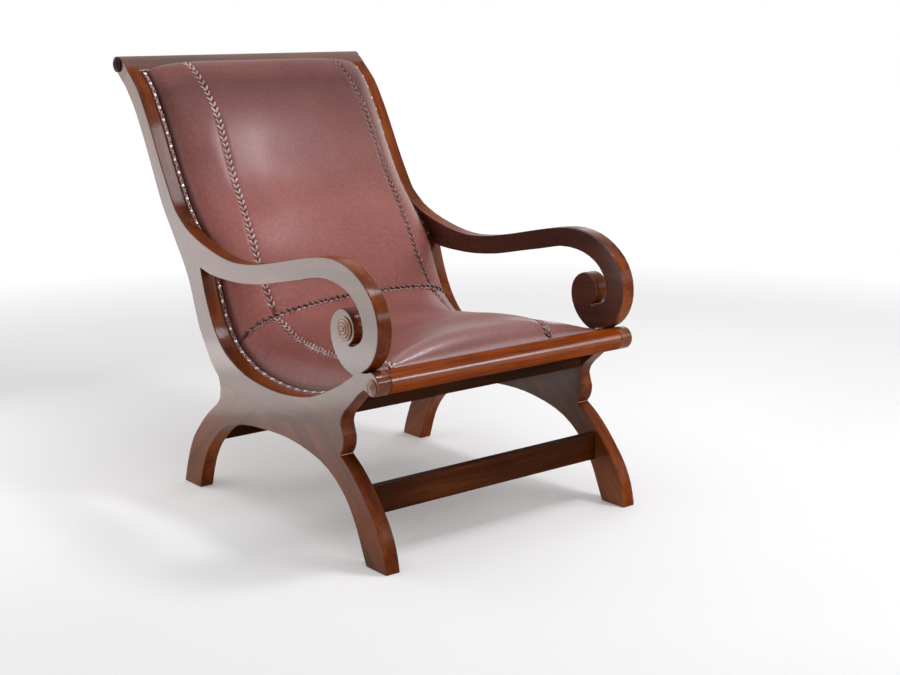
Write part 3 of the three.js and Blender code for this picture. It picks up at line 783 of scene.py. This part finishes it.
def leatherPad(part, material):
    across, share = padGrid(part, padLook["columns"], padLook["rows"])
    top = leatherPoint(across, share)
    shift = puff(part)
    downRows = cubicWeights(shift.shape[0], top.shape[0])
    downColumns = cubicWeights(shift.shape[1], top.shape[1])
    top = top + np.einsum("ij,jkc,lk->ilc", downRows, shift, downColumns)
    normal = gridNormals(top)
    outward = leatherPoint(across * 0, share) - raisedPoint(0, share, padLook["inside"])
    facing = np.sign(np.sum(normal * outward, axis=-1))
    normal *= np.where(facing == 0, 1, facing)[..., None]
    along = share * lineLength
    seam = distanceToSeams(across, share)
    edge = (1 - np.abs(across)) * padLook["halfWidth"]
    front = (padLook["frontEnd"] - share) * lineLength
    look = puckerLook
    lower = padLook["channelDepth"] * hump(seam, padLook["channelWidth"])
    lower += look["seam"] * hump(seam, look["seamReach"]) * wave(along, look["seamPitch"])
    lower += look["nail"] * np.exp(-edge / look["nailReach"]) * wave(along, look["nailPitch"])
    gather = look["leftShare"] + (1 - look["leftShare"]) * easeBetween(across, *look["rightFrom"])
    gather = gather * wave(across * padLook["halfWidth"], look["frontPitch"])
    lower += look["front"] * np.exp(-front / look["frontReach"]) * gather
    fade = np.clip(np.minimum(edge, np.minimum(front, along)) / look["fade"], 0, 1)
    top = top - normal * (lower * fade)[..., None]
    piece = shellMesh(f"{part}Leather", top, across, share, material)
    for name, table in alongLeather.items():
        values = np.interp(share, *table) * np.interp(across, *acrossLeather[name])
        setPointValues(piece, name, values, values)
    # Painted shade along the nailed edge and in the seams, and on the whole underside
    paintedEdgeShade = paintedGrooveShadeLook["edge"] * hump(edge, paintedGrooveShadeLook["edgeReach"])
    groove = np.maximum(hump(seam, paintedGrooveShadeLook["seamReach"]), paintedEdgeShade)
    setPointValues(piece, "groove", groove, np.full_like(groove, paintedGrooveShadeLook["under"]))
    dress(piece, "leather", f"{part}_leather")
    print("stage:", part, "leather")
    return top, normal


leather = leatherMaterial("coverLeather")
pads = {part: leatherPad(part, leather) for part in ("back", "seat")}


# A point of the finished leather and its normal, by its place across and its share of the line
def readPad(part, across, share):
    columns, rows = padLook["columns"], padLook["rows"]
    first, last = padEnds(part, across)
    column = np.interp(across, bunch(np.linspace(-1, 1, columns + 1)), np.arange(columns + 1))
    line = np.interp((share - first) / (last - first), padRows(rows), np.arange(rows + 1))
    c0 = np.minimum(column.astype(int), columns - 1)
    r0 = np.minimum(line.astype(int), rows - 1)
    dc, dr = (column - c0)[:, None], (line - r0)[:, None]
    found = []
    for table in pads[part]:
        upper = table[r0, c0] * (1 - dc) + table[r0, c0 + 1] * dc
        lower = table[r0 + 1, c0] * (1 - dc) + table[r0 + 1, c0 + 1] * dc
        found.append(upper * (1 - dr) + lower * dr)
    return found


# A path is a line of vertices with an "up" vector on each
def pathObject(name, points, ups):
    mesh = bpy.data.meshes.new(name)
    mesh.from_pydata(points.tolist(), [(number, number + 1) for number in range(len(points) - 1)], [])
    vectors = mesh.attributes.new("up", "FLOAT_VECTOR", "POINT")
    vectors.data.foreach_set("vector", ups.astype(np.float32).ravel())
    return newObject(name, mesh)


# Modifier that repeats a small piece along a path, upright on its surface
def rowTree():
    group = bpy.data.node_groups.new("rowOfPieces", "GeometryNodeTree")
    for label, kind in (
        ("Path", "NodeSocketGeometry"), ("Piece", "NodeSocketObject"), ("Pitch", "NodeSocketFloat"),
        ("Sway", "NodeSocketFloat"), ("Size Spread", "NodeSocketFloat"), ("Seed", "NodeSocketInt"),
        ("Material", "NodeSocketMaterial"),
    ):
        group.interface.new_socket(label, in_out="INPUT", socket_type=kind)
    group.interface.new_socket("Geometry", in_out="OUTPUT", socket_type="NodeSocketGeometry")
    tree = Tree(group)
    source = group.nodes.new("NodeGroupInput")
    inputs = {socket.name: Wire(tree, socket) for socket in source.outputs if socket.name}
    curve = tree.node("GeometryNodeMeshToCurve", {}, {0: inputs["Path"]})
    spacing = {"Curve": curve, "Length": inputs["Pitch"]}
    even = tree.node("GeometryNodeResampleCurve", {"mode": "LENGTH"}, spacing)
    up = tree.node("GeometryNodeInputNamedAttribute", {"data_type": "FLOAT_VECTOR"}, {"Name": "up"})
    tangent = tree.node("GeometryNodeInputTangent")
    upright = tree.node("FunctionNodeAlignRotationToVector", {"axis": "Z"}, {"Vector": up})
    turned = tree.node("FunctionNodeAlignRotationToVector", {"axis": "X", "pivot_axis": "Z"},
                       {"Rotation": upright, "Vector": tangent})
    sway = inputs["Sway"]
    angle = tree.node("FunctionNodeRandomValue", {"data_type": "FLOAT"},
                      {2: sway * -1.0, 3: sway, "Seed": inputs["Seed"]}, output=1)
    swing = tree.node("ShaderNodeCombineXYZ", {}, {2: angle})
    rotation = tree.node("FunctionNodeRotateRotation", {"rotation_space": "LOCAL"}, {0: turned, 1: swing})
    spread = inputs["Size Spread"]
    scale = tree.node("FunctionNodeRandomValue", {"data_type": "FLOAT"},
                      {2: 1.0 - spread, 3: spread + 1.0, "Seed": inputs["Seed"] + 7}, output=1)
    small = tree.node("GeometryNodeObjectInfo", {}, {"Object": inputs["Piece"]}, output="Geometry")
    rows = tree.node("GeometryNodeInstanceOnPoints", {},
                     {"Points": even, "Instance": small, "Rotation": rotation, "Scale": scale})
    real = tree.node("GeometryNodeRealizeInstances", {}, {0: rows})
    painted = tree.node("GeometryNodeSetMaterial", {}, {"Geometry": real, "Material": inputs["Material"]})
    sink = group.nodes.new("NodeGroupOutput")
    group.links.new(painted.socket, sink.inputs[0])
    return group


rowOfPieces = rowTree()


def repeatAlong(name, path, small, settings, material):
    modifier = path.modifiers.new("row", "NODES")
    modifier.node_group = rowOfPieces
    values = dict(settings, Piece=small, Material=material)
    for item in rowOfPieces.interface.items_tree:
        if item.in_out == "INPUT" and item.name in values:
            modifier[item.identifier] = values[item.name]
    bpy.context.view_layer.update()
    graph = bpy.context.evaluated_depsgraph_get()
    mesh = bpy.data.meshes.new_from_object(path.evaluated_get(graph), depsgraph=graph)
    mesh.name = name
    if "up" in mesh.attributes:
        mesh.attributes.remove(mesh.attributes["up"])
    bpy.data.objects.remove(path)
    return newObject(name, mesh)


# Thong strand: a flattened tube through a few points, thin at both ends
def strandMesh(paths, look, sides=6, endSize=0.55):
    points, faces = [], []
    for path in paths:
        path = np.array(path)
        faces += ringFaces(len(path), sides, len(points)) + capFaces(len(path), sides, len(points))
        for number, (at, tangent) in enumerate(zip(path, np.gradient(path, axis=0))):
            tangent = Vector(tangent).normalized()
            aside = tangent.cross(Vector((0, 0, 1))).normalized()
            up = aside.cross(tangent)
            size = endSize if number in (0, len(path) - 1) else 1.0
            for step in range(sides):
                angle = 2 * math.pi * step / sides
                offset = aside * math.cos(angle) * look["thong"] + up * math.sin(angle) * look["thickness"]
                points.append(Vector(at) + offset * size / 2)
    return points, faces


def smallPiece(name, points, faces):
    piece = meshObject(name, points, faces, None)
    piece.hide_render = True
    return piece


# Seams: each strand of a stitch runs through shares of the reach and the half width, at heights in metres
laceLook = {
    "halfWidth": 0.0092, "reach": 0.0062, "thong": 0.0058, "thickness": 0.0030,
    "strand": [(-1.15, 1.0, -0.0012), (-0.8, 0.86, 0.00255), (-0.1, 0.52, 0.00357), (0.7, 0.22, 0.00255),
               (1.25, 0.04, -0.0008)],
    "row": {"Pitch": 0.0155, "Sway": 0.20, "Size Spread": 0.13, "Seed": 5},
    "ends": {"back": (0.006, 0.505), "seat": (0.54, 0.9955)}, "samples": 160, "clear": 0.006, "sink": 0.0005,
    "joinEnd": 0.955, "joinSamples": 200, "joinHalf": 0.0035,
}
thongLook = dict(
    leatherLook, roughness=(0.20, 0.30), coat=(1.0, 1.0), coatRoughness=0.09,
    deep=rgba(0.12, 0.045, 0.040), main=rgba(0.50, 0.28, 0.26), pale=rgba(0.88, 0.68, 0.66),
)
# The right seam and the join are laced with thongs painted darker than the left seam's, as painted shade, and
# duller
paintedShadeThongLook = dict(
    thongLook, coat=(0.5, 0.5),
    deep=rgba(0.06, 0.022, 0.019), main=rgba(0.21, 0.092, 0.082), pale=rgba(0.44, 0.24, 0.22),
)
thong = leatherMaterial("laceLeather", thongLook, grooves=False)
paintedShadeThong = leatherMaterial("dullLaceLeather", paintedShadeThongLook, grooves=False)


def chevron(look):
    reach, width = look["reach"], look["halfWidth"]
    paths = [[(reach * along, side * width * aside, height) for along, aside, height in look["strand"]]
             for side in sideOf.values()]
    return strandMesh(paths, look)


chevronPiece = smallPiece("chevronStitch", *chevron(laceLook))


def laceSeam(name, points, normals, material):
    path = pathObject(name + "Path", points, normals)
    return dress(repeatAlong(name, path, chevronPiece, laceLook["row"], material), "edge_leather")


for seam in seamPaths:
    for part, ends in laceLook["ends"].items():
        share = np.linspace(*ends, laceLook["samples"])
        across = seamAcross(seam, share)
        pastJoin = share - joinShare(across)
        keep = pastJoin < -laceLook["clear"] if part == "back" else pastJoin > laceLook["clear"]
        points, normals = readPad(part, across[keep], share[keep])
        material = thong if seam == "left" else paintedShadeThong
        laceSeam(f"{part}Lacing{seam.title()}", points - normals * laceLook["sink"], normals, material)
across = np.linspace(-laceLook["joinEnd"], laceLook["joinEnd"], laceLook["joinSamples"])
upperPoints, upperNormals = readPad("back", across, joinShare(across) - laceLook["joinHalf"])
lowerPoints, lowerNormals = readPad("seat", across, joinShare(across) + laceLook["joinHalf"])
joinPoints, joinNormals = (upperPoints + lowerPoints) / 2, unit(upperNormals + lowerNormals)
laceSeam("joinLacing", joinPoints, joinNormals, paintedShadeThong)


# Welt: a flat cord that closes the join under its lacing
weltLook = {"width": 0.0120, "thickness": 0.0050, "sink": 0.0032, "sides": 10}


def welt(points, normals, look):
    aside = np.cross(unit(np.gradient(points, axis=0)), normals)
    angles = 2 * np.pi * np.arange(look["sides"]) / look["sides"]
    offsets = (aside[:, None] * np.cos(angles)[None, :, None] * look["width"] / 2
               + normals[:, None] * np.sin(angles)[None, :, None] * look["thickness"] / 2)
    return tubeObject("joinWelt", (points - normals * look["sink"])[:, None] + offsets, thong)


dress(welt(joinPoints, joinNormals, weltLook), "edge_leather")
print("stage: seam lacing")


# Edge band on each frame, with crossed thongs and dome nails
edgeLook = {
    "section": [(-0.0050, -0.008), (-0.0050, 0.0012), (-0.0036, 0.0024), (0.0, 0.0030), (0.0036, 0.0024),
                (0.0050, 0.0012), (0.0050, -0.008)],
    "ends": (0.004, 0.998), "steps": 260, "gap": 0.0003, "width": 0.010,
    "rowEnds": (0.010, 0.985), "rowSteps": 400,
}
nailSize = {
    "radius": 0.0051, "height": 0.0034, "rings": 5, "sides": 14, "rise": 0.0030,
    "row": {"Pitch": 0.0335, "Sway": 0.5, "Size Spread": 0.04, "Seed": 9},
}
# One strand passes under the other where they cross
linkLook = {
    "halfLength": 0.008375, "halfWidth": 0.0030, "thong": 0.0034, "thickness": 0.0022, "rise": 0.0026,
    "end": 0.0002, "flank": 0.0012, "under": 0.0014, "over": 0.0022,
    "row": {"Pitch": 0.01675, "Sway": 0.05, "Size Spread": 0.05, "Seed": 3},
}


def edgeBand(name, middle, material):
    share = np.linspace(*edgeLook["ends"], edgeLook["steps"])
    rings = np.stack([raisedPoint(middle + x, share, rise) for x, rise in edgeLook["section"]], axis=1)
    return tubeObject(name, rings, material)


def domeNail(look):
    points = []
    sides, rings = look["sides"], look["rings"]
    for ring in range(rings):
        angle = math.pi / 2 * ring / rings
        radius, height = look["radius"] * math.cos(angle), look["height"] * math.sin(angle)
        for step in range(sides):
            turn = 2 * math.pi * step / sides
            points.append((radius * math.cos(turn), radius * math.sin(turn), height))
    points.append((0, 0, look["height"]))
    faces = ringFaces(rings, sides)
    top = (rings - 1) * sides
    faces += [(top + step, top + (step + 1) % sides, rings * sides) for step in range(sides)]
    faces.append(tuple(reversed(range(sides))))
    return points, faces


def crossedLink(look):
    length, width = look["halfLength"], look["halfWidth"]
    paths = []
    for side, crossing in ((-1, look["under"]), (1, look["over"])):
        strand = [(-1.05, -1.0, look["end"]), (-0.5, -0.9, look["flank"]), (0.0, 0.0, crossing),
                  (0.5, 0.9, look["flank"]), (1.05, 1.0, look["end"])]
        paths.append([(length * along, side * width * aside, height) for along, aside, height in strand])
    return strandMesh(paths, look)


bandLook = dict(leatherLook, main=rgba(0.15, 0.058, 0.048), pale=rgba(0.24, 0.10, 0.085))
bandLeather = leatherMaterial("bandLeather", bandLook, grooves=False)
nailMetal = nailMaterial("domeNail")
nailPiece = smallPiece("domeNailHead", *domeNail(nailSize))
linkPiece = smallPiece("crossedThong", *crossedLink(linkLook))
edgeRows = {"crossedThongs": (linkPiece, linkLook, thong), "domeNails": (nailPiece, nailSize, nailMetal)}
for sideName, side in sideOf.items():
    middle = side * (innerFace - edgeLook["gap"] - edgeLook["width"] / 2)
    title = sideName.title()
    dress(edgeBand(f"edgeBand{title}", middle, bandLeather), "edge_leather", f"edge_lacing_{sideName}")
    share = np.linspace(*edgeLook["rowEnds"], edgeLook["rowSteps"])
    tangent = readLine(lineTangents, share)
    ups = np.stack([np.zeros(len(share)), tangent[:, 1], -tangent[:, 0]], axis=-1)
    for rowName, (small, look, material) in edgeRows.items():
        path = pathObject(f"{rowName}Path{title}", raisedPoint(middle, share, look["rise"]), ups)
        dress(repeatAlong(f"{rowName}{title}", path, small, look["row"], material), "edge_leather")
for piece in (chevronPiece, nailPiece, linkPiece):
    bpy.data.objects.remove(piece)
print("stage: edges")


# Camera at the photograph's place, plain floor and soft studio light
cameraLook = {
    "at": (-1.90797, -2.78171, 1.04994), "yaw": 37.777, "pitch": 11.778, "roll": -0.8704, "lens": 58.126,
    "sensor": 36, "clip": (0.05, 100),
}


def addCamera(look):
    yaw, pitch, roll = (math.radians(look[key]) for key in ("yaw", "pitch", "roll"))
    ahead = Vector((math.sin(yaw) * math.cos(pitch), math.cos(yaw) * math.cos(pitch), -math.sin(pitch)))
    right = Vector((math.cos(yaw), -math.sin(yaw), 0))
    up = right.cross(ahead)
    across = right * math.cos(roll) + up * math.sin(roll)
    up = up * math.cos(roll) - right * math.sin(roll)
    data = bpy.data.cameras.new("camera")
    data.lens = look["lens"]
    data.sensor_width = look["sensor"]
    data.clip_start, data.clip_end = look["clip"]
    camera = newObject("camera", data)
    turn = Matrix((across, up, -ahead)).transposed().to_4x4()
    camera.matrix_world = Matrix.Translation(look["at"]) @ turn
    bpy.context.scene.camera = camera


# Floor: pale under the chair, so that its shadow shows, and white further out
floorLook = {
    "pale": rgba(0.88, 0.885, 0.89), "light": rgba(0.92, 0.92, 0.92), "cloud": 1.4, "cloudRange": (0.3, 0.7),
    "rough": 0.8, "specular": 0.1, "glow": 0.14, "reach": (1.5, 3.6), "halfSize": 9.0,
}
black, white = rgba(0.0, 0.0, 0.0), rgba(1.0, 1.0, 1.0)


# 1 for what the camera sees, also in a polished or clear surface
def seen(tree):
    camera, glossy, through = [tree.node("ShaderNodeLightPath", output=f"Is {ray} Ray")
                               for ray in ("Camera", "Glossy", "Transmission")]
    return camera.mathNode("MAXIMUM", camera.mathNode("MAXIMUM", camera, glossy), through)


def addFloor(look):
    material, tree, shader = newMaterial("paleFloor", look)
    coords = tree.objectCoords()
    cloud = tree.spread(tree.noise(coords, look["cloud"], 3, 0.5), *look["cloudRange"])
    colour = tree.mix(cloud, look["pale"], look["light"])
    distance = tree.node("ShaderNodeVectorMath", {"operation": "LENGTH"}, {0: coords}, output="Value")
    away = tree.spread(distance, *look["reach"])
    feed(tree, shader, {"Base Color": tree.mix(away, colour, black)})
    glow = tree.spread(away, 0.0, 1.0, look["glow"], 1.0) * seen(tree)
    glowing = tree.node("ShaderNodeEmission", {}, {0: white, 1: glow})
    both = tree.node("ShaderNodeAddShader", {}, {0: Wire(tree, shader.outputs[0]), 1: glowing})
    out = next(node for node in tree.tree.nodes if node.bl_idname == "ShaderNodeOutputMaterial")
    tree.tree.links.new(both.socket, out.inputs[0])
    size = look["halfSize"]
    points = [(-size, -size, 0), (size, -size, 0), (size, size, 0), (-size, size, 0)]
    meshObject("floor", points, [(0, 1, 2, 3)], material)


# Soft lamps: place, aim, size in metres, brightness of the panel and its tint
lampLook = {
    "wall": {"at": (-1.16, 0.92, 0.72), "aim": (-0.3, 0.0, 0.68), "size": (1.6, 1.38), "bright": 1.05,
             "tint": (1.0, 0.97, 0.965)},
    "bounce": {"at": (-1.05, 1.14, 0.012), "aim": (-1.05, 1.14, 1.0), "size": (1.05, 1.05), "bright": 0.85,
               "tint": (1.0, 0.97, 0.96), "shape": "ELLIPSE"},
    "front": {"at": (1.45, -2.7, 1.35), "aim": (0.0, -0.4, 0.4), "size": (0.90, 0.50), "bright": 10.0,
              "tint": (1.0, 0.97, 0.95)},
    "side": {"at": (2.35, -2.45, 1.42), "aim": (0.15, -0.4, 0.4), "size": (0.95, 1.1), "bright": 3.2,
             "tint": (1.0, 0.97, 0.95)},
    "softbox": {"at": (0.78, -1.00, 2.4), "aim": (-0.1, 0.25, 0.75), "size": (0.50, 0.46), "bright": 23.0,
                "tint": (0.96, 0.94, 1.0), "shape": "ELLIPSE"},
    "top": {"at": (-0.5, -0.5, 3.1), "aim": (0.0, 0.0, 0.5), "size": (1.8, 1.8), "bright": 1.1},
    "rim": {"at": (2.0, 0.7, 1.3), "aim": (0.1, 0.0, 0.5), "size": (1.0, 0.8), "bright": 2.0},
}


def addLamp(name, look):
    data = bpy.data.lights.new(name, "AREA")
    data.shape = look.get("shape", "RECTANGLE")
    data.size, data.size_y = look["size"]
    data.energy = look["bright"] * math.pi * data.size * data.size_y
    data.color = look.get("tint", (1.0, 1.0, 1.0))
    lamp = newObject(name, data)
    lamp.location = look["at"]
    lamp.rotation_mode = "QUATERNION"
    lamp.rotation_quaternion = (Vector(look["aim"]) - Vector(look["at"])).to_track_quat("-Z", "Y")
    lamp.visible_camera = False


# The room is white ahead of the camera, and dimmer behind it
worldLook = {"light": 0.45, "white": 1.0, "dim": 0.5, "ahead": (0.61, 0.79, 0.0), "turn": (-0.35, 0.25)}


def addWorld(look):
    world = bpy.data.worlds.new("studio")
    world.use_nodes = True
    tree = Tree(world.node_tree)
    light = tree.node("ShaderNodeBackground", {}, {0: white, 1: look["light"]})
    inputs = {0: tree.node("ShaderNodeTexCoord", output=0), 1: look["ahead"]}
    ahead = tree.node("ShaderNodeVectorMath", {"operation": "DOT_PRODUCT"}, inputs, output="Value")
    bright = tree.spread(ahead, *look["turn"], look["dim"], look["white"])
    room = tree.node("ShaderNodeBackground", {}, {0: white, 1: bright})
    shown = tree.node("ShaderNodeMixShader", {}, {0: seen(tree), 1: light, 2: room})
    out = world.node_tree.nodes.new("ShaderNodeOutputWorld")
    world.node_tree.links.new(shown.socket, out.inputs[0])
    bpy.context.scene.world = world


addCamera(cameraLook)
addFloor(floorLook)
addWorld(worldLook)
for name, look in lampLook.items():
    addLamp(name, look)
bpy.context.scene.view_settings.view_transform = "Standard"
print("stage: studio")
